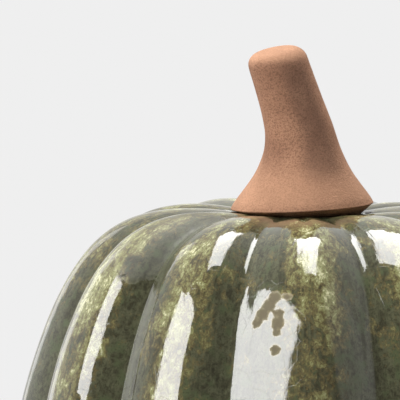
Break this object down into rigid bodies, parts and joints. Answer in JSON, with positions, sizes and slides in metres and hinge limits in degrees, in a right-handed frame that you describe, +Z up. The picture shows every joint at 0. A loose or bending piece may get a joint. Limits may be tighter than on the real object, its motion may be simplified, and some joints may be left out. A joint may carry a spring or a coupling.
{
  "type": "ceramic pumpkin figure",
  "caption": "Free-standing ceramic pumpkin ornament: hollow lobed body in reactive green glaze, with a separate unglazed leaning stem glued into its top.",
  "frame": {"origin": "on the body's vertical axis at the surface the figure stands on, which is the underside of its four foot pads", "axes": "+Z up along the body's axis; -Y is the front, the side the stem leans toward as well as to the left; +X to the right seen from the front"},
  "size_m": [0.2009, 0.1999, 0.2409],
  "materials": {
    "glaze": "high-gloss mottled olive green reactive glaze, yellow-cream where it breaks over the lobes, amber and brown fringes",
    "terracotta": "matte unglazed terracotta with a fine sandy grain, darker along one side",
    "adhesive": "cured epoxy, off-white, slightly glossy",
    "pad": "soft translucent white bumper rubber, matte"
  },
  "bodies": {
    "root": {"body_shell": "glaze", "stem": "terracotta", "stem_adhesive": "adhesive", "foot_pad_1": "pad", "foot_pad_2": "pad", "foot_pad_3": "pad", "foot_pad_4": "pad"}
  },
  "joints": []
}
